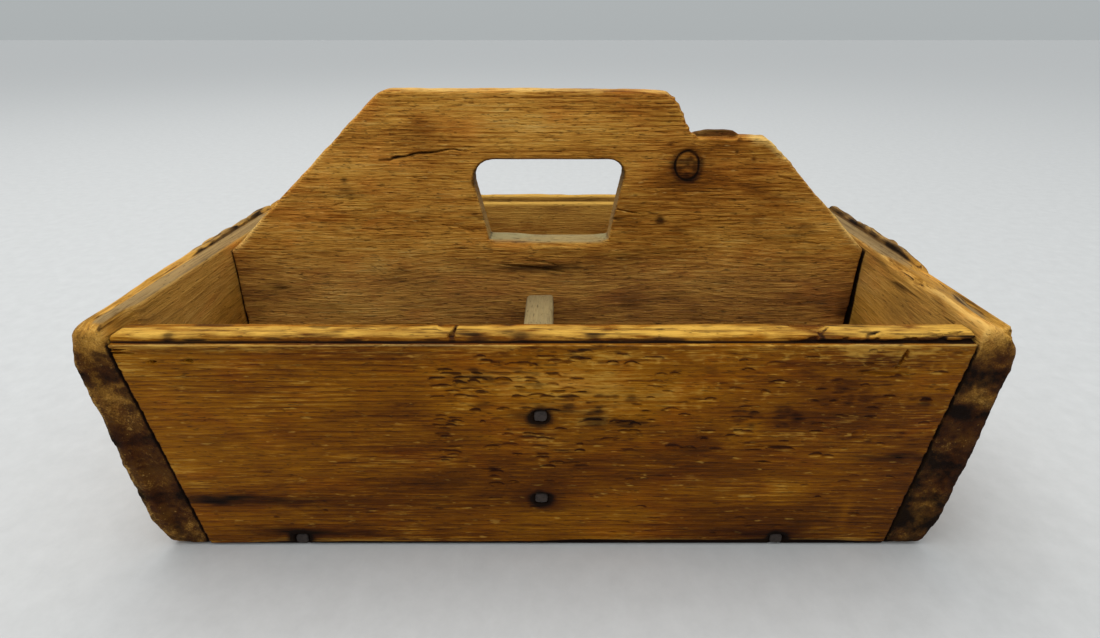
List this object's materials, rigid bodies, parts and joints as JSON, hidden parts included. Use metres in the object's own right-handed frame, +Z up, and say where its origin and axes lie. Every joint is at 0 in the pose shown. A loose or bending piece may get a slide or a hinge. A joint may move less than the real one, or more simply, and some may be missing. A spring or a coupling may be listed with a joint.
{
  "type": "tool storage caddy",
  "caption": "Open wooden tool caddy of nailed, outward-leaning boards, with a long handle board holding a hand hole and a cross partition in the front half.",
  "frame": {"origin": "centre of the flat underside, on the plane that the caddy stands on", "axes": "+X along the length, from the left end board to the right one; +Y to the rear, away from the side with the cross partition; +Z up"},
  "size_m": [0.5324, 0.2812, 0.2815],
  "materials": {
    "board_wood": "aged waxed pine, worn to straw yellow on its edges",
    "end_wood": "aged waxed pine, dark stained end grain",
    "handle_wood": "aged waxed pine, polished by hands",
    "inner_wood": "dry dusty aged pine",
    "nail_iron": "dark oxidised iron",
    "brad_steel": "dull worn steel"
  },
  "bodies": {
    "root": {"front_board": "board_wood", "back_board": "board_wood", "left_end": "end_wood", "right_end": "end_wood", "bottom_board": "inner_wood", "handle_board": "handle_wood", "cross_partition": "inner_wood", "front_partition_nails": "nail_iron", "front_bottom_nails": "nail_iron", "back_bottom_nails": "nail_iron", "handle_partition_nails": "nail_iron", "handle_bottom_nails": "nail_iron", "left_end_front_nails": "nail_iron", "left_end_back_nails": "nail_iron", "left_end_handle_nails": "nail_iron", "left_end_bottom_nails": "nail_iron", "right_end_front_nails": "nail_iron", "right_end_back_nails": "nail_iron", "right_end_handle_nails": "nail_iron", "right_end_bottom_nails": "nail_iron", "left_end_brad": "brad_steel"}
  },
  "joints": []
}
